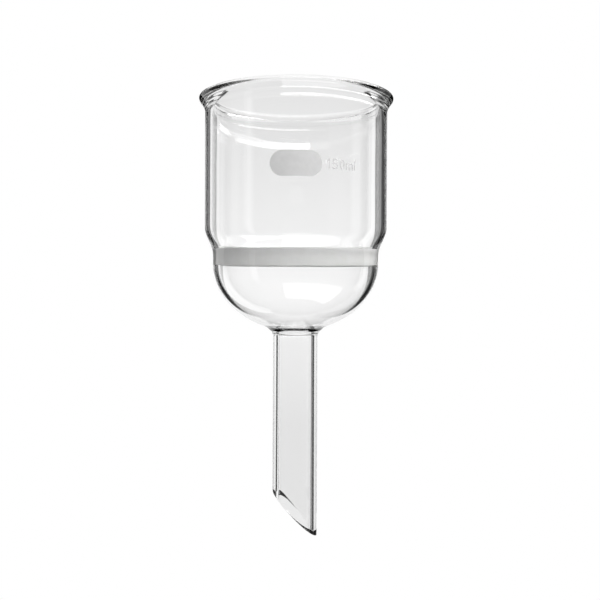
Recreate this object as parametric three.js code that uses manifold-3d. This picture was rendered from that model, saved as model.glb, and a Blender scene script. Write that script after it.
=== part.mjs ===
// Buchner funnel of borosilicate glass with a sintered glass disc fused into its neck.
//
// Millimetres, +Z up. The funnel's axis is the Z axis, and the origin is the point on the axis where
// the stem is sealed to the round bottom of the bowl. The printed side faces -Y.
import * as THREE from 'three';
import { mergeVertices } from 'three/addons/utils/BufferGeometryUtils.js';
import Module from 'manifold-3d';

const wasm = await Module();
wasm.setup();

// How finely round surfaces are divided.
const TURN_STEPS = 64;
const CURVE_STEPS = 4;
const FILM_STEPS = 4;

// Space left between two pieces that are sealed together on the real funnel.
const SEAL_GAP = 0.3;

// The filtering disc and the neck that is shrunk onto it.
const DISC_THICKNESS = 6.3;
const DISC_TOP_Z = 30.1;
const DISC_EDGE_CHAMFER = 0.3;
const NECK_OUTER_RADIUS = 30.3;
const NECK_INNER_RADIUS = 27.8;
const DISC_RADIUS = NECK_INNER_RADIUS - SEAL_GAP;
const DISC_MIDDLE_Z = DISC_TOP_Z - DISC_THICKNESS / 2;

// The chamber that holds what is filtered.
const CHAMBER_OUTER_RADIUS = 33.3;
const CHAMBER_WALL = 2.6;
const CHAMBER_INNER_RADIUS = CHAMBER_OUTER_RADIUS - CHAMBER_WALL;
const SHOULDER_TOP_Z = 37.8;
const SHOULDER_PULL = 4.2;
const INNER_SHOULDER_BOTTOM_Z = 30.3;
const INNER_SHOULDER_TOP_PULL = 4.4;
const INNER_SHOULDER_BOTTOM_PULL = 1.6;

// The flared, fire-polished rim.
const RIM_OUTER_RADIUS = 35.5;
const RIM_TOP_Z = 85.4;
const RIM_ROUND_HEIGHT = 1.4;
const RIM_HALF_THICKNESS = (RIM_OUTER_RADIUS - CHAMBER_INNER_RADIUS) / 2;
const RIM_EDGE_Z = RIM_TOP_Z - RIM_ROUND_HEIGHT;
const RIM_FLARE_HEIGHT = 5.5;
const RIM_FLARE_PULL = 3.0;
const RIM_EDGE_PULL = 1.2;

// The round bottom below the disc: part of an ellipse that runs on into the flare of the stem seal.
const BOWL_OUTER_TOP_Z = 24.5;
const BOWL_OUTER_DEPTH = 25.0;
const BOWL_INNER_DEPTH = 22.5;
const BOWL_FLARE_RADIUS = 11.5;
const BOWL_FLARE_PULL = 1.0;
const BOWL_INNER_FLARE_RADIUS = 9.5;
const BOWL_INNER_FLARE_PULL = 2.0;
const SEAL_LIP_SIZE = 0.4;
const SEAL_INNER_PULL = 0.8;

// The stem, and the seal that joins it to the bowl.
const STEM_OUTER_RADIUS = 8.2;
const STEM_BORE_RADIUS = 6.1;
const STEM_LENGTH = 75.6;
const SEAL_OUTER_RADIUS = 9.6;
const SEAL_TAPER_LENGTH = 3.0;
const TIP_SLANT = THREE.MathUtils.degToRad(45);

// The fired enamel marks on the front of the chamber.
const FILM_GAP = 0.15;
const FILM_THICKNESS = 0.25;
const FILM_INNER_RADIUS = CHAMBER_OUTER_RADIUS + FILM_GAP;
const FILM_OUTER_RADIUS = FILM_INNER_RADIUS + FILM_THICKNESS;
const PATCH_WIDTH = 17.2;
const PATCH_HEIGHT = 8.5;
const MARK_Z = 57.0;
const MARK_TURN = THREE.MathUtils.degToRad(27);
const LETTER_HEIGHT = 3.5;
const LETTER_STROKE = 0.45;

const clearGlass = new THREE.MeshStandardMaterial({
  color: 0xe9eeee,
  roughness: 0.04,
  metalness: 0,
  transparent: true,
  opacity: 0.35,
});
const sinteredGlass = new THREE.MeshStandardMaterial({ color: 0xe6e6e3, roughness: 0.95, metalness: 0 });
const whiteEnamel = new THREE.MeshStandardMaterial({ color: 0xdedfdd, roughness: 0.6, metalness: 0 });

// ---- shape helpers ----

// Turns a closed outline of (radius, height) points about the Z axis.
function turned(outline) {
  const geometry = new THREE.LatheGeometry(outline.getPoints(CURVE_STEPS), TURN_STEPS);
  geometry.rotateX(Math.PI / 2);
  return weldVertices(geometry);
}

function weldVertices(geometry) {
  geometry.deleteAttribute('normal');
  geometry.deleteAttribute('uv');
  return mergeVertices(geometry);
}

function toSolid(geometry) {
  const vertProperties = new Float32Array(geometry.getAttribute('position').array);
  const triVerts = new Uint32Array(geometry.getIndex().array);
  return new wasm.Manifold(new wasm.Mesh({ numProp: 3, vertProperties, triVerts }));
}

function toGeometry(solid) {
  const mesh = solid.getMesh();
  const geometry = new THREE.BufferGeometry();
  geometry.setAttribute('position', new THREE.BufferAttribute(mesh.vertProperties, mesh.numProp));
  geometry.setIndex(new THREE.BufferAttribute(mesh.triVerts, 1));
  geometry.computeVertexNormals();
  return geometry;
}

function piece(name, geometry, material) {
  const mesh = new THREE.Mesh(geometry, material);
  mesh.name = name;
  return mesh;
}

// A half ellipse that hangs below a height, at a radius: its point, its slope and its turn from level.
function hangingEllipse(topZ, halfWidth, depth, radius) {
  const across = radius / halfWidth;
  const down = Math.sqrt(1 - across ** 2);
  return { z: topZ - depth * down, slope: (depth * across) / (halfWidth * down), turn: -Math.acos(across) };
}

// ---- glass envelope ----

function upperChamber() {
  const bottomZ = DISC_MIDDLE_Z + SEAL_GAP / 2;
  const flareZ = RIM_EDGE_Z - RIM_FLARE_HEIGHT;
  const rimMiddle = CHAMBER_INNER_RADIUS + RIM_HALF_THICKNESS;
  const outline = new THREE.Path();
  outline.moveTo(NECK_OUTER_RADIUS, bottomZ);
  outline.bezierCurveTo(
    NECK_OUTER_RADIUS, bottomZ + SHOULDER_PULL,
    CHAMBER_OUTER_RADIUS, SHOULDER_TOP_Z - SHOULDER_PULL,
    CHAMBER_OUTER_RADIUS, SHOULDER_TOP_Z,
  );
  outline.lineTo(CHAMBER_OUTER_RADIUS, flareZ);
  outline.bezierCurveTo(
    CHAMBER_OUTER_RADIUS, flareZ + RIM_FLARE_PULL,
    RIM_OUTER_RADIUS, RIM_EDGE_Z - RIM_EDGE_PULL,
    RIM_OUTER_RADIUS, RIM_EDGE_Z,
  );
  outline.absellipse(rimMiddle, RIM_EDGE_Z, RIM_HALF_THICKNESS, RIM_ROUND_HEIGHT, 0, Math.PI, false);
  outline.lineTo(CHAMBER_INNER_RADIUS, SHOULDER_TOP_Z);
  outline.bezierCurveTo(
    CHAMBER_INNER_RADIUS, SHOULDER_TOP_Z - INNER_SHOULDER_TOP_PULL,
    NECK_INNER_RADIUS, INNER_SHOULDER_BOTTOM_Z + INNER_SHOULDER_BOTTOM_PULL,
    NECK_INNER_RADIUS, INNER_SHOULDER_BOTTOM_Z,
  );
  outline.lineTo(NECK_INNER_RADIUS, bottomZ);
  outline.closePath();
  return turned(outline);
}

function lowerBowl() {
  const topZ = DISC_MIDDLE_Z - SEAL_GAP / 2;
  const bottomZ = SEAL_GAP / 2;
  const innerTopZ = DISC_TOP_Z - DISC_THICKNESS - SEAL_GAP;
  const outer = hangingEllipse(BOWL_OUTER_TOP_Z, NECK_OUTER_RADIUS, BOWL_OUTER_DEPTH, BOWL_FLARE_RADIUS);
  const inner = hangingEllipse(innerTopZ, NECK_INNER_RADIUS, BOWL_INNER_DEPTH, BOWL_INNER_FLARE_RADIUS);
  const outline = new THREE.Path();
  outline.moveTo(SEAL_OUTER_RADIUS, bottomZ);
  outline.bezierCurveTo(
    SEAL_OUTER_RADIUS + SEAL_LIP_SIZE, bottomZ + SEAL_LIP_SIZE,
    BOWL_FLARE_RADIUS - BOWL_FLARE_PULL, outer.z - BOWL_FLARE_PULL * outer.slope,
    BOWL_FLARE_RADIUS, outer.z,
  );
  outline.absellipse(0, BOWL_OUTER_TOP_Z, NECK_OUTER_RADIUS, BOWL_OUTER_DEPTH, outer.turn, 0, false);
  outline.lineTo(NECK_OUTER_RADIUS, topZ);
  outline.lineTo(NECK_INNER_RADIUS, topZ);
  outline.lineTo(NECK_INNER_RADIUS, innerTopZ);
  outline.absellipse(0, innerTopZ, NECK_INNER_RADIUS, BOWL_INNER_DEPTH, 0, inner.turn, true);
  outline.bezierCurveTo(
    BOWL_INNER_FLARE_RADIUS - BOWL_INNER_FLARE_PULL, inner.z - BOWL_INNER_FLARE_PULL * inner.slope,
    STEM_BORE_RADIUS, bottomZ + SEAL_INNER_PULL,
    STEM_BORE_RADIUS, bottomZ,
  );
  outline.closePath();
  return turned(outline);
}

// A plain tube whose top is drawn out to the seal, cut off at a slant so that its lowest point is at +X.
function stemTube() {
  const topZ = -SEAL_GAP / 2;
  const outline = new THREE.Path();
  outline.moveTo(STEM_OUTER_RADIUS, -STEM_LENGTH);
  outline.lineTo(STEM_OUTER_RADIUS, -SEAL_TAPER_LENGTH);
  outline.quadraticCurveTo(STEM_OUTER_RADIUS, -SEAL_TAPER_LENGTH / 3, SEAL_OUTER_RADIUS, topZ);
  outline.lineTo(STEM_BORE_RADIUS, topZ);
  outline.lineTo(STEM_BORE_RADIUS, -STEM_LENGTH);
  outline.closePath();
  const cutSize = 6 * STEM_OUTER_RADIUS;
  const cutMiddleZ = -STEM_LENGTH + STEM_OUTER_RADIUS * Math.tan(TIP_SLANT);
  const cutBlock = new THREE.BoxGeometry(cutSize, cutSize, cutSize);
  cutBlock.translate(0, 0, -cutSize / 2);
  cutBlock.rotateY(TIP_SLANT);
  cutBlock.translate(0, 0, cutMiddleZ);
  const cutSolid = toSolid(weldVertices(cutBlock));
  return toGeometry(toSolid(turned(outline)).subtract(cutSolid));
}

// ---- sintered disc ----

function filterDisc() {
  const halfThickness = DISC_THICKNESS / 2;
  const flatRadius = DISC_RADIUS - DISC_EDGE_CHAMFER;
  const flatZ = halfThickness - DISC_EDGE_CHAMFER;
  const outline = new THREE.Path();
  outline.moveTo(0, -halfThickness);
  outline.lineTo(flatRadius, -halfThickness);
  outline.lineTo(DISC_RADIUS, -flatZ);
  outline.lineTo(DISC_RADIUS, flatZ);
  outline.lineTo(flatRadius, halfThickness);
  outline.lineTo(0, halfThickness);
  return turned(outline);
}

// ---- enamel marks ----

// A flat round-ended bar from one point to another, pushed out of the axis towards -Y.
function bar(from, to, width) {
  const heading = to.clone().sub(from).angle();
  const shape = new THREE.Shape();
  shape.absarc(to.x, to.y, width / 2, heading - Math.PI / 2, heading + Math.PI / 2, false);
  shape.absarc(from.x, from.y, width / 2, heading + Math.PI / 2, heading + Math.PI * 1.5, false);
  shape.closePath();
  const depth = FILM_OUTER_RADIUS + 1;
  const geometry = new THREE.ExtrudeGeometry(shape, { depth, bevelEnabled: false, curveSegments: FILM_STEPS });
  geometry.rotateX(Math.PI / 2);
  return toSolid(weldVertices(geometry));
}

// The bars along a line of points, joined into one solid.
function stroke(points, width) {
  const bars = points.slice(1).map((point, index) => bar(points[index], point, width));
  return bars.reduce((joined, next) => joined.add(next));
}

// Keeps the part of a solid that lies in a thin film round the chamber.
function asFilm(solid, height) {
  const ring = new THREE.Path();
  ring.moveTo(FILM_INNER_RADIUS, -height);
  ring.lineTo(FILM_OUTER_RADIUS, -height);
  ring.lineTo(FILM_OUTER_RADIUS, height);
  ring.lineTo(FILM_INNER_RADIUS, height);
  ring.closePath();
  return toGeometry(solid.intersect(toSolid(turned(ring))));
}

function writingPatch() {
  const reach = (PATCH_WIDTH - PATCH_HEIGHT) / 2;
  const ends = [new THREE.Vector2(-reach, 0), new THREE.Vector2(reach, 0)];
  return asFilm(stroke(ends, PATCH_HEIGHT), PATCH_HEIGHT);
}

// Plain block characters, drawn as the middle lines of their strokes about their own middle.
const TALL = (LETTER_HEIGHT - LETTER_STROKE) / 2;
const WIDE = 0.75;
const LOW = 0.6 * TALL;

function arcPoints(x, y, radiusX, radiusY, start, end, clockwise) {
  return new THREE.EllipseCurve(x, y, radiusX, radiusY, start, end, clockwise).getPoints(2 * FILM_STEPS);
}

function linePoints(...pairs) {
  return pairs.map(([x, y]) => new THREE.Vector2(x, y));
}

const CHARACTERS = {
  mark_digit_1: {
    halfWidth: 0.4,
    strokes: [linePoints([-0.45, 0.6 * TALL], [0, TALL], [0, -TALL])],
  },
  mark_digit_5: {
    halfWidth: WIDE,
    strokes: [
      linePoints([0.9 * WIDE, TALL], [-WIDE, TALL], [-WIDE, 0.1 * TALL]),
      arcPoints(-0.25 * WIDE, -0.4 * TALL, 1.25 * WIDE, 0.6 * TALL, 2.2, -2.5, true),
    ],
  },
  mark_digit_0: {
    halfWidth: WIDE,
    strokes: [arcPoints(0, 0, WIDE, TALL, 0, 2 * Math.PI, false)],
  },
  mark_letter_m: {
    halfWidth: 1.2,
    strokes: [
      linePoints([-1.2, 2 * LOW - TALL], [-1.2, -TALL]),
      arcPoints(-0.6, 0, 0.6, 2 * LOW - TALL, Math.PI, 0, true).concat(linePoints([0, -TALL])),
      arcPoints(0.6, 0, 0.6, 2 * LOW - TALL, Math.PI, 0, true).concat(linePoints([1.2, -TALL])),
    ],
  },
  mark_letter_l: {
    halfWidth: 0,
    strokes: [linePoints([0, TALL], [0, -TALL])],
  },
};
const CHARACTER_ORDER = ['mark_digit_1', 'mark_digit_5', 'mark_digit_0', 'mark_letter_m', 'mark_letter_l'];
const CHARACTER_SPACE = 0.55;

// The characters stand side by side round the chamber, each turned to face straight out.
function capacityMark() {
  const mark = new THREE.Group();
  const advance = LETTER_STROKE + CHARACTER_SPACE;
  const widths = CHARACTER_ORDER.map((name) => 2 * CHARACTERS[name].halfWidth + advance);
  const total = widths.reduce((sum, width) => sum + width, 0);
  let reached = -total / 2;
  CHARACTER_ORDER.forEach((name, index) => {
    const solids = CHARACTERS[name].strokes.map((points) => stroke(points, LETTER_STROKE));
    const joined = solids.reduce((whole, next) => whole.add(next));
    const mesh = piece(name, asFilm(joined, LETTER_HEIGHT), whiteEnamel);
    mesh.rotation.z = (reached + widths[index] / 2) / FILM_OUTER_RADIUS;
    mark.add(mesh);
    reached += widths[index];
  });
  return mark;
}

// ---- the whole funnel ----

const funnel = new THREE.Group();

funnel.add(piece('upper_chamber', upperChamber(), clearGlass));
funnel.add(piece('lower_bowl', lowerBowl(), clearGlass));
funnel.add(piece('stem_tube', stemTube(), clearGlass));

const disc = piece('filter_disc', filterDisc(), sinteredGlass);
disc.position.z = DISC_MIDDLE_Z;
funnel.add(disc);

const patch = piece('writing_patch', writingPatch(), whiteEnamel);
patch.position.z = MARK_Z;
funnel.add(patch);

const mark = capacityMark();
mark.position.z = MARK_Z;
mark.rotation.z = MARK_TURN;
funnel.add(mark);

export default funnel;
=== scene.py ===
import math

import bmesh
import bpy
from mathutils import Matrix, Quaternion, Vector


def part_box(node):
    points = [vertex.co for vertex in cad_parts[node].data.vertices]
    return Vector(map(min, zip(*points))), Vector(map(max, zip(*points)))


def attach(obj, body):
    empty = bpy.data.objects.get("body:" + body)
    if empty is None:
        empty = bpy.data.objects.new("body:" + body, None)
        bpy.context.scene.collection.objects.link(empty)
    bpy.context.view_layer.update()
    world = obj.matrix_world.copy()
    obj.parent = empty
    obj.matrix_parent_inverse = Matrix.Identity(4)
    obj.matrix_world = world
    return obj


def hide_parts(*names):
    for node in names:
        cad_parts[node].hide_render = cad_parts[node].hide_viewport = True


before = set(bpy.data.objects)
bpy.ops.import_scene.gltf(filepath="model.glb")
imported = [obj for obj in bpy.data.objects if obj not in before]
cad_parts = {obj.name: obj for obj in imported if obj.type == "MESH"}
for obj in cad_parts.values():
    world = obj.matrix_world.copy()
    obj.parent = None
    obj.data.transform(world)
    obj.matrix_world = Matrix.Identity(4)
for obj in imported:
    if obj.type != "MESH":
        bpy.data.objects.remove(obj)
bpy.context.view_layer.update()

# A buchner funnel: a clear glass envelope (chamber, bowl and stem, fused into one), a sintered glass disc
# and fired enamel marks.
# Metres, +Z up, the funnel's axis on the Z axis and the printed side facing -Y.

MM = 0.001

# ---- sizes, from the frame where it gives them ----

chamber_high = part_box("upper_chamber")[1]
bowl_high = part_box("lower_bowl")[1]
stem_low, stem_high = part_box("stem_tube")
disc_low, disc_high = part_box("filter_disc")
patch_low, patch_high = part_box("writing_patch")

RIM_RADIUS = chamber_high.x
RIM_TOP = chamber_high.z
NECK_RADIUS = bowl_high.x
SEAL_RADIUS = stem_high.x
TIP_BOTTOM = stem_low.z
DISC_BOTTOM = disc_low.z
DISC_TOP = disc_high.z
DISC_MIDDLE = (DISC_BOTTOM + DISC_TOP) / 2

# Chamber: straight walls, a shoulder below and a flared rim with a melted edge above.
RIM_OVERHANG = 2.2 * MM
CHAMBER_WALL = 2.6 * MM
CHAMBER_RADIUS = RIM_RADIUS - RIM_OVERHANG
CHAMBER_BORE = CHAMBER_RADIUS - CHAMBER_WALL
SHOULDER_TOP = DISC_TOP + 7.7 * MM
SHOULDER_PULL = 4.2 * MM
RIM_ROUND = 1.4 * MM
RIM_EDGE_Z = RIM_TOP - RIM_ROUND
FLARE_Z = RIM_EDGE_Z - 5.5 * MM
FLARE_PULL = 3.0 * MM
RIM_EDGE_PULL = 1.2 * MM

# Bowl: a half ellipse inside and one outside, each flared into the stem.
NECK_BORE = 27.8 * MM
BOWL_INNER_TOP = DISC_BOTTOM - 0.3 * MM
BOWL_INNER_DEPTH = 22.5 * MM
INNER_FLARE_RADIUS = 9.5 * MM
INNER_FLARE_PULL = 2 * MM
BOWL_OUTER_TOP = 24.5 * MM
BOWL_OUTER_DEPTH = 25.0 * MM
OUTER_FLARE_RADIUS = 11.5 * MM
OUTER_FLARE_PULL = 1 * MM

# Stem: sealed to the bowl at height 0, with a bead of glass round the seal.
STEM_RADIUS = 8.2 * MM
STEM_BORE = 6.1 * MM
SEAL_LIP = 0.4 * MM
SEAL_INNER_PULL = 0.8 * MM
SEAL_TAPER = 3.0 * MM
TIP_EDGE = 0.5 * MM
TIP_SLANT_REACH = 30 * MM

# Disc: its upper half follows the shoulder's wall, and FUSED is how far its edge runs into the glass.
FUSED = 0.1 * MM
DISC_WIDENING = 0.6 * MM
DISC_EDGE = 0.15 * MM

TURN_STEPS = 192
SHARP_ANGLE = 40
GLASS_WAVES = 0.3
NOISE_LOW = 0.3
NOISE_HIGH = 0.7


# ---- mesh helpers ----

def bezier(start, pull_a, pull_b, end, steps):
    """Points along a cubic curve, without its first point."""
    points = []
    for i in range(1, steps + 1):
        t = i / steps
        u = 1 - t
        weights = (u**3, 3 * u * u * t, 3 * u * t * t, t**3)
        corners = (start, pull_a, pull_b, end)
        points.append(tuple(sum(w * c[k] for w, c in zip(weights, corners)) for k in range(2)))
    return points


def arc(centre, radii, start, end, steps):
    """Points along an ellipse from one angle to another in degrees, without its first point."""
    points = []
    for i in range(1, steps + 1):
        turn = math.radians(start + (end - start) * i / steps)
        points.append((centre[0] + radii[0] * math.cos(turn), centre[1] + radii[1] * math.sin(turn)))
    return points


def straight(start, end, steps):
    """Points along a straight line, without its first point."""
    return [tuple(a + (b - a) * i / steps for a, b in zip(start, end)) for i in range(1, steps + 1)]


def new_object(name, bm):
    """Makes a smooth-shaded object from a bmesh and frees the bmesh."""
    mesh = bpy.data.meshes.new(name)
    bmesh.ops.recalc_face_normals(bm, faces=bm.faces)
    bm.to_mesh(mesh)
    bm.free()
    mesh.shade_smooth()
    mesh.set_sharp_from_angle(angle=math.radians(SHARP_ANGLE))
    piece = bpy.data.objects.new(name, mesh)
    bpy.context.scene.collection.objects.link(piece)
    return piece


def turned(name, outline, on_axis=False):
    """Turns a loop of (radius, height) points about the Z axis.
    on_axis: the first and last points lie on the axis and close the ends."""
    bm = bmesh.new()
    columns = []
    for k in range(TURN_STEPS):
        turn = 2 * math.pi * k / TURN_STEPS
        ring = outline[1:-1] if on_axis else outline
        columns.append([bm.verts.new((r * math.cos(turn), r * math.sin(turn), z)) for r, z in ring])
    count = len(columns[0])
    for k in range(TURN_STEPS):
        here, there = columns[k], columns[(k + 1) % TURN_STEPS]
        for i in range(count - 1 if on_axis else count):
            j = (i + 1) % count
            bm.faces.new((here[i], there[i], there[j], here[j]))
    if on_axis:
        first = bm.verts.new((0, 0, outline[0][1]))
        last = bm.verts.new((0, 0, outline[-1][1]))
        for k in range(TURN_STEPS):
            here, there = columns[k], columns[(k + 1) % TURN_STEPS]
            bm.faces.new((first, there[0], here[0]))
            bm.faces.new((last, here[-1], there[-1]))
    return new_object(name, bm)


# ---- materials ----

def new_material(name):
    """A new material, its node tree, its shader and the object coordinates."""
    material = bpy.data.materials.new(name)
    material.use_nodes = True
    tree = material.node_tree
    place = tree.nodes.new("ShaderNodeTexCoord")
    return material, tree, tree.nodes["Principled BSDF"], place.outputs["Object"]


def noise(tree, place, grains_per_mm, detail=2.0, stretch=(1, 1, 1)):
    """Noise whose grains have a real size; stretch squeezes it along the axes."""
    scaled = tree.nodes.new("ShaderNodeMapping")
    scaled.inputs["Scale"].default_value = stretch
    grain = tree.nodes.new("ShaderNodeTexNoise")
    grain.inputs["Scale"].default_value = grains_per_mm / MM
    grain.inputs["Detail"].default_value = detail
    tree.links.new(place, scaled.inputs["Vector"])
    tree.links.new(scaled.outputs["Vector"], grain.inputs["Vector"])
    return grain.outputs["Fac"]


def cells(tree, place, cells_per_mm):
    """Distance from the middle of the nearest grain."""
    grain = tree.nodes.new("ShaderNodeTexVoronoi")
    grain.inputs["Scale"].default_value = cells_per_mm / MM
    tree.links.new(place, grain.inputs["Vector"])
    return grain.outputs["Distance"]


def spread(tree, value, low, high, target):
    """Maps a noise value to a range and runs it into a shader socket."""
    fit = tree.nodes.new("ShaderNodeMapRange")
    fit.inputs["From Min"].default_value = NOISE_LOW
    fit.inputs["From Max"].default_value = NOISE_HIGH
    fit.inputs["To Min"].default_value = low
    fit.inputs["To Max"].default_value = high
    tree.links.new(value, fit.inputs["Value"])
    tree.links.new(fit.outputs["Result"], target)


def tint(tree, value, dark, light, target):
    """Mixes two colours by a noise value and runs the mix into a shader socket."""
    ramp = tree.nodes.new("ShaderNodeValToRGB")
    ramp.color_ramp.elements[0].position = NOISE_LOW
    ramp.color_ramp.elements[0].color = (*dark, 1)
    ramp.color_ramp.elements[1].position = NOISE_HIGH
    ramp.color_ramp.elements[1].color = (*light, 1)
    tree.links.new(value, ramp.inputs["Fac"])
    tree.links.new(ramp.outputs["Color"], target)


def bump(tree, height, depth, strength, shader, below=None):
    """Raises relief from a height value, over the relief of another bump if one is given."""
    relief = tree.nodes.new("ShaderNodeBump")
    relief.inputs["Strength"].default_value = strength
    relief.inputs["Distance"].default_value = depth
    tree.links.new(height, relief.inputs["Height"])
    if below:
        tree.links.new(below, relief.inputs["Normal"])
    tree.links.new(relief.outputs["Normal"], shader.inputs["Normal"])
    return relief.outputs["Normal"]


def glass_material():
    """Clear drawn tube: faint waves that run along the axis and a slight unevenness from the flame."""
    material, tree, shader, place = new_material("borosilicate_glass")
    shader.inputs["Base Color"].default_value = (1, 1, 1, 1)
    shader.inputs["Roughness"].default_value = 0.0
    shader.inputs["IOR"].default_value = 1.47
    shader.inputs["Transmission Weight"].default_value = 1.0
    drawn = noise(tree, place, grains_per_mm=0.12, detail=1.0, stretch=(1, 1, 0.12))
    flamed = noise(tree, place, grains_per_mm=0.06, detail=1.0)
    waves = bump(tree, drawn, 0.05 * MM, GLASS_WAVES, shader)
    bump(tree, flamed, 0.10 * MM, GLASS_WAVES, shader, below=waves)
    return material


def sintered_material():
    """Sintered grains a third of a millimetre across, with mottled density."""
    material, tree, shader, place = new_material("sintered_glass")
    mottle = noise(tree, place, grains_per_mm=0.35, detail=4.0)
    dark, light = (0.93, 0.93, 0.915), (0.97, 0.97, 0.965)
    tint(tree, mottle, dark, light, shader.inputs["Base Color"])
    dust = noise(tree, place, grains_per_mm=1.5)
    spread(tree, dust, 0.8, 1.0, shader.inputs["Roughness"])
    shader.inputs["Specular IOR Level"].default_value = 0.3
    grains = bump(tree, cells(tree, place, cells_per_mm=3.0), 0.06 * MM, 0.5, shader)
    hollows = noise(tree, place, grains_per_mm=0.8, detail=3.0)
    bump(tree, hollows, 0.10 * MM, 0.4, shader, below=grains)
    return material


def enamel_material():
    """Fired enamel: a thin satin coat, slightly patchy and pitted."""
    material, tree, shader, place = new_material("white_enamel")
    patches = noise(tree, place, grains_per_mm=0.5, detail=3.0)
    dark, light = (0.47, 0.47, 0.47), (0.51, 0.51, 0.51)
    tint(tree, patches, dark, light, shader.inputs["Base Color"])
    dull_spots = noise(tree, place, grains_per_mm=2.0)
    spread(tree, dull_spots, 0.42, 0.6, shader.inputs["Roughness"])
    pits = noise(tree, place, grains_per_mm=5.0, detail=2.0)
    bump(tree, pits, 0.01 * MM, 0.4, shader)
    return material


# ---- glass envelope ----

def ellipse_at(top, half_width, depth, radius):
    """A half ellipse that hangs below a height: where it is at a radius.
    Gives the angle on the ellipse in degrees, the height and the slope there."""
    across = radius / half_width
    down = math.sqrt(1 - across * across)
    return -math.degrees(math.acos(across)), top - depth * down, depth * across / (half_width * down)


def chamber_outside():
    """Up the outside from the middle of the disc to the widest point of the rim."""
    profile = [(NECK_RADIUS, DISC_MIDDLE)]
    profile += bezier(profile[-1], (NECK_RADIUS, DISC_MIDDLE + SHOULDER_PULL),
                      (CHAMBER_RADIUS, SHOULDER_TOP - SHOULDER_PULL), (CHAMBER_RADIUS, SHOULDER_TOP), 24)
    profile += straight(profile[-1], (CHAMBER_RADIUS, FLARE_Z), 8)
    profile += bezier(profile[-1], (CHAMBER_RADIUS, FLARE_Z + FLARE_PULL),
                      (RIM_RADIUS, RIM_EDGE_Z - RIM_EDGE_PULL), (RIM_RADIUS, RIM_EDGE_Z), 20)
    return profile


def chamber_inside():
    """Over the rim and down the inside to the middle of the disc."""
    rim_half = (RIM_RADIUS - CHAMBER_BORE) / 2
    profile = arc((CHAMBER_BORE + rim_half, RIM_EDGE_Z), (rim_half, RIM_ROUND), 0, 180, 32)
    profile += straight(profile[-1], (CHAMBER_BORE, SHOULDER_TOP), 10)
    profile += bezier(profile[-1], (CHAMBER_BORE, SHOULDER_TOP - SHOULDER_PULL),
                      (NECK_BORE, DISC_MIDDLE + SHOULDER_PULL), (NECK_BORE, DISC_MIDDLE), 24)
    return profile


def bowl_inside():
    """Down the inside of the bowl and the stem."""
    turn, z, slope = ellipse_at(BOWL_INNER_TOP, NECK_BORE, BOWL_INNER_DEPTH, INNER_FLARE_RADIUS)
    flare_pull = (INNER_FLARE_RADIUS - INNER_FLARE_PULL, z - INNER_FLARE_PULL * slope)
    profile = straight((NECK_BORE, DISC_MIDDLE), (NECK_BORE, BOWL_INNER_TOP), 3)
    profile += arc((0, BOWL_INNER_TOP), (NECK_BORE, BOWL_INNER_DEPTH), 0, turn, 40)
    profile += bezier(profile[-1], flare_pull, (STEM_BORE, SEAL_INNER_PULL), (STEM_BORE, 0.0), 30)
    profile += straight(profile[-1], (STEM_BORE, TIP_BOTTOM + TIP_EDGE), 40)
    return profile


def bowl_outside():
    """Round the tip, up the outside of the stem and the bowl, and back to the middle of the disc."""
    turn, z, slope = ellipse_at(BOWL_OUTER_TOP, NECK_RADIUS, BOWL_OUTER_DEPTH, OUTER_FLARE_RADIUS)
    flare_end = (OUTER_FLARE_RADIUS, z)
    flare_pull = (OUTER_FLARE_RADIUS - OUTER_FLARE_PULL, z - OUTER_FLARE_PULL * slope)
    tip_round = (TIP_EDGE, TIP_EDGE)
    profile = arc((STEM_BORE + TIP_EDGE, TIP_BOTTOM + TIP_EDGE), tip_round, 180, 270, 6)
    profile += straight(profile[-1], (STEM_RADIUS - TIP_EDGE, TIP_BOTTOM), 3)
    profile += arc((STEM_RADIUS - TIP_EDGE, TIP_BOTTOM + TIP_EDGE), tip_round, 270, 360, 6)
    profile += straight(profile[-1], (STEM_RADIUS, -SEAL_TAPER), 40)
    profile += bezier(profile[-1], (STEM_RADIUS, -1.7 * MM), (STEM_RADIUS + 0.3 * MM, -0.6 * MM),
                      (SEAL_RADIUS, 0.0), 10)
    profile += bezier(profile[-1], (SEAL_RADIUS + SEAL_LIP, SEAL_LIP), flare_pull, flare_end, 30)
    profile += arc((0, BOWL_OUTER_TOP), (NECK_RADIUS, BOWL_OUTER_DEPTH), turn, 0, 40)
    profile += straight(profile[-1], (NECK_RADIUS, DISC_MIDDLE), 3)[:-1]
    return profile


def make_envelope():
    """The chamber, bowl and stem, fused into one body of glass, with the tip sheared to its slant."""
    outline = chamber_outside() + chamber_inside() + bowl_inside() + bowl_outside()
    envelope = turned("glass_envelope", outline)
    for vertex in envelope.data.vertices:
        share = min(max((TIP_BOTTOM + TIP_SLANT_REACH - vertex.co.z) / TIP_SLANT_REACH, 0), 1)
        vertex.co.z += (STEM_RADIUS - vertex.co.x) * share
    return envelope


def make_disc():
    """The sintered disc, straight below its middle and widening with the wall above it."""
    radius = NECK_BORE + FUSED
    wide = NECK_BORE + DISC_WIDENING
    edge = DISC_EDGE
    outline = [(0, DISC_BOTTOM)]
    outline += straight(outline[-1], (radius - edge, DISC_BOTTOM), 6)
    outline += arc((radius - edge, DISC_BOTTOM + edge), (edge, edge), 270, 360, 4)
    outline += straight(outline[-1], (radius, DISC_MIDDLE), 3)
    outline += bezier(outline[-1], (radius, DISC_MIDDLE + 1.3 * MM), (wide, DISC_TOP - 1.0 * MM),
                      (wide, DISC_TOP - edge), 6)
    outline += arc((wide - edge, DISC_TOP - edge), (edge, edge), 0, 90, 4)
    outline += straight(outline[-1], (0, DISC_TOP), 6)
    return turned("sintered_disc", outline, on_axis=True)


# ---- enamel marks ----

FILM_IN = CHAMBER_RADIUS - 0.03 * MM
FILM_OUT = CHAMBER_RADIUS + 0.05 * MM


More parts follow.
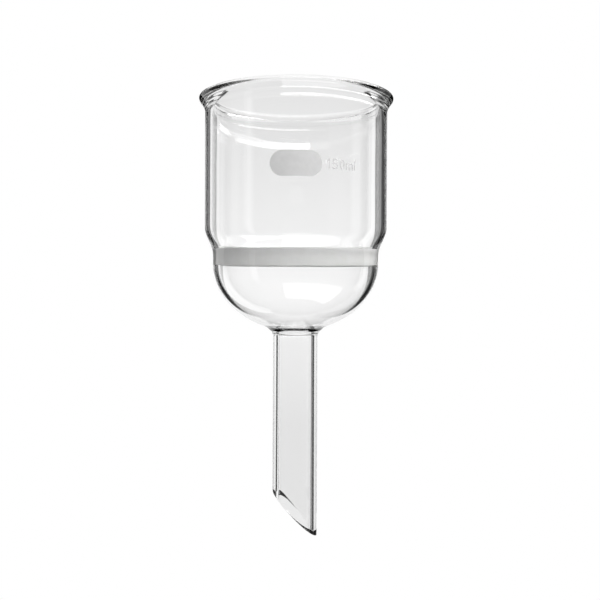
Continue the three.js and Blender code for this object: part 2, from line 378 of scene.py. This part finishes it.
def make_patch():
    """A round-ended bar of enamel laid round the chamber."""
    half_height = (patch_high.z - patch_low.z) / 2
    half_width = patch_high.x
    middle = (patch_high.z + patch_low.z) / 2
    columns = 64
    rows = 16
    bm = bmesh.new()
    layers = []
    for radius in (FILM_IN, FILM_OUT):
        grid = []
        for i in range(columns + 1):
            along = -math.cos(math.pi * i / columns) * half_width
            past = max(abs(along) - (half_width - half_height), 0)
            tall = math.sqrt(max(half_height**2 - past**2, 0))
            turn = along / CHAMBER_RADIUS
            column = []
            for j in range(rows + 1):
                up = tall * (2 * j / rows - 1)
                corner = (radius * math.sin(turn), -radius * math.cos(turn), middle + up)
                column.append(bm.verts.new(corner))
            grid.append(column)
        layers.append(grid)
    for grid in layers:
        for i in range(columns):
            for j in range(rows):
                bm.faces.new((grid[i][j], grid[i + 1][j], grid[i + 1][j + 1], grid[i][j + 1]))
    inner, outer = layers
    border = [(i, 0) for i in range(columns)] + [(columns, j) for j in range(rows)]
    border += [(i, rows) for i in range(columns, 0, -1)] + [(0, j) for j in range(rows, 0, -1)]
    for n, (i, j) in enumerate(border):
        p, q = border[(n + 1) % len(border)]
        bm.faces.new((inner[i][j], inner[p][q], outer[p][q], outer[i][j]))
    bmesh.ops.remove_doubles(bm, verts=bm.verts, dist=1e-7)
    return new_object("patch_enamel", bm)


def make_character(node):
    """The CAD character, pressed down to a thin film on the glass."""
    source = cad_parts[node]
    mesh = source.data.copy()
    mesh.transform(source.matrix_world)
    radii = [math.hypot(v.co.x, v.co.y) for v in mesh.vertices]
    middle = (min(radii) + max(radii)) / 2
    for vertex, radius in zip(mesh.vertices, radii):
        wanted = FILM_OUT if radius > middle else FILM_IN
        vertex.co.x *= wanted / radius
        vertex.co.y *= wanted / radius
    piece = bpy.data.objects.new(node + "_enamel", mesh)
    bpy.context.scene.collection.objects.link(piece)
    return piece


# ---- putting the funnel together ----

def finish_piece(piece, material, slot, *nodes):
    """Gives a piece its material and body, and hides the CAD nodes that it replaces. The slot is not
    used.
    """
    piece.data.materials.clear()
    piece.data.materials.append(material)
    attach(piece, "root")
    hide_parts(*nodes)


glass = glass_material()
sintered = sintered_material()
enamel = enamel_material()
finish_piece(make_envelope(), glass, "clear_glass", "upper_chamber", "lower_bowl", "stem_tube")
finish_piece(make_disc(), sintered, "sintered_glass", "filter_disc")
finish_piece(make_patch(), enamel, "white_enamel", "writing_patch")
for node in ("mark_digit_1", "mark_digit_5", "mark_digit_0", "mark_letter_m", "mark_letter_l"):
    finish_piece(make_character(node), enamel, "white_enamel", node)

# ---- camera ----

CAMERA_DISTANCE = 267 * MM
CAMERA_HEIGHT = 26.3 * MM
AIM_SIDE = 1.6 * MM
LEAN = math.radians(0.25)

camera_data = bpy.data.cameras.new("camera")
camera_data.lens = 43.5
camera_data.shift_y = -0.07
camera_data.clip_start = 0.01
camera = bpy.data.objects.new("camera", camera_data)
bpy.context.scene.collection.objects.link(camera)
camera.location = (0, -CAMERA_DISTANCE, CAMERA_HEIGHT)
aim = Vector((AIM_SIDE, 0, CAMERA_HEIGHT))
camera.rotation_mode = "QUATERNION"
level = (aim - camera.location).to_track_quat("-Z", "Y")
camera.rotation_quaternion = level @ Quaternion((0, 0, 1), LEAN)
bpy.context.scene.camera = camera

# ---- studio ----

def glow_material(name, strength):
    """An even white glow."""
    material = bpy.data.materials.new(name)
    material.use_nodes = True
    tree = material.node_tree
    tree.nodes.clear()
    out = tree.nodes.new("ShaderNodeOutputMaterial")
    light = tree.nodes.new("ShaderNodeEmission")
    light.inputs["Color"].default_value = (1, 1, 1, 1)
    light.inputs["Strength"].default_value = strength
    tree.links.new(light.outputs["Emission"], out.inputs["Surface"])
    return material


def fading_glow_material(name, *fades):
    """A white glow that changes with height and takes the weaker of its fades at each height.
    Each fade: a first height, a last height, and the strength at each of them."""
    material = glow_material(name, 1.0)
    tree = material.node_tree
    place = tree.nodes.new("ShaderNodeTexCoord")
    split = tree.nodes.new("ShaderNodeSeparateXYZ")
    weaker = tree.nodes.new("ShaderNodeMath")
    weaker.operation = "MINIMUM"
    tree.links.new(place.outputs["Object"], split.inputs["Vector"])
    for socket, (near, far, near_strength, far_strength) in zip(weaker.inputs, fades):
        fade = tree.nodes.new("ShaderNodeMapRange")
        fade.inputs["From Min"].default_value = near
        fade.inputs["From Max"].default_value = far
        fade.inputs["To Min"].default_value = near_strength
        fade.inputs["To Max"].default_value = far_strength
        tree.links.new(split.outputs["Z"], fade.inputs["Value"])
        tree.links.new(fade.outputs["Result"], socket)
    tree.links.new(weaker.outputs["Value"], tree.nodes["Emission"].inputs["Strength"])
    return material


def follow_camera(thing):
    """Ties a thing to the camera and hides it from direct view."""
    bpy.context.view_layer.update()
    world = thing.matrix_world.copy()
    thing.parent = camera
    thing.matrix_parent_inverse = camera.matrix_world.inverted()
    thing.matrix_world = world
    thing.visible_camera = False


def panel(name, start, end, low, high, material):
    """A glowing sheet round the funnel, between two bearings in degrees, clockwise from straight behind.
    low and high: the distance from the axis and the height over the disc of its two long edges, in mm."""
    steps = 24
    bm = bmesh.new()
    rows = []
    for i in range(steps + 1):
        bearing = math.radians(start + (end - start) * i / steps)
        x, y = math.sin(bearing), math.cos(bearing)
        row = []
        for away, up in (low, high):
            row.append(bm.verts.new((x * (away * MM), y * (away * MM), DISC_MIDDLE + up * MM)))
        rows.append(row)
    for (a, b), (c, d) in zip(rows, rows[1:]):
        bm.faces.new((a, c, d, b))
    piece = new_object(name, bm)
    piece.data.materials.append(material)
    follow_camera(piece)


# Dark and grey sheets beside the funnel draw its edges. The backdrop and the lights give it its tones.
NEAR = 100
FAR = 250
ROOM = 1000
SIDE_LOW = -250
SIDE_TOP = 120
NEARLY_BLACK = 0.02
SCREENS = [
    ("screen_right_black", 36.5, 57, NEARLY_BLACK),
    ("screen_right_grey", 57, 75, 0.35),
    ("screen_left_grey", 235, 280, 0.27),
    ("screen_left_white", 280, 304, 1.0),
    ("screen_left_black", 304, 323, NEARLY_BLACK),
]
for name, start, end, strength in SCREENS:
    panel(name, start, end, (NEAR, SIDE_LOW), (NEAR, SIDE_TOP), glow_material(name, strength))
front_glow = glow_material("screen_front", NEARLY_BLACK)
panel("screen_front", 75, 235, (ROOM, -500), (ROOM, 320), front_glow)
upper_fade = (DISC_MIDDLE, DISC_MIDDLE + 130 * MM, 1.03, 0.82)
lower_fade = (DISC_MIDDLE - 30 * MM, DISC_MIDDLE - 120 * MM, 1.03, 0.88)
backdrop_glow = fading_glow_material("backdrop", upper_fade, lower_fade)
panel("backdrop", -60, 60, (FAR, SIDE_LOW), (FAR, 250), backdrop_glow)
LIGHTS = [
    ("key_light", 60, 200, (400, 185), (380, 330), 7.5),
    ("under_light", 100, 200, (400, -290), (150, -290), 2.5),
    ("low_light", 100, 260, (ROOM, -500), (500, -600), 0.6),
    ("under_grey", 0, 360, (600, -300), (1, -300), 0.3),
]
for name, start, end, low, high, strength in LIGHTS:
    panel(name, start, end, low, high, glow_material(name, strength))

world = bpy.data.worlds.new("studio")
world.use_nodes = True
world.node_tree.nodes["Background"].inputs["Color"].default_value = (1, 1, 1, 1)
world.node_tree.nodes["Background"].inputs["Strength"].default_value = 1.0
bpy.context.scene.world = world

FLOOR_Z = TIP_BOTTOM - 550 * MM
FLOOR_HALF = 3.0
floor_mesh = bpy.data.meshes.new("floor")
corners = [(x * FLOOR_HALF, y * FLOOR_HALF, FLOOR_Z) for x, y in ((-1, -1), (1, -1), (1, 1), (-1, 1))]
floor_mesh.from_pydata(corners, [], [(0, 1, 2, 3)])
floor = bpy.data.objects.new("floor", floor_mesh)
bpy.context.scene.collection.objects.link(floor)
floor_mesh.materials.append(glow_material("pale_floor", 1.0))

bpy.context.scene.view_settings.view_transform = "Standard"
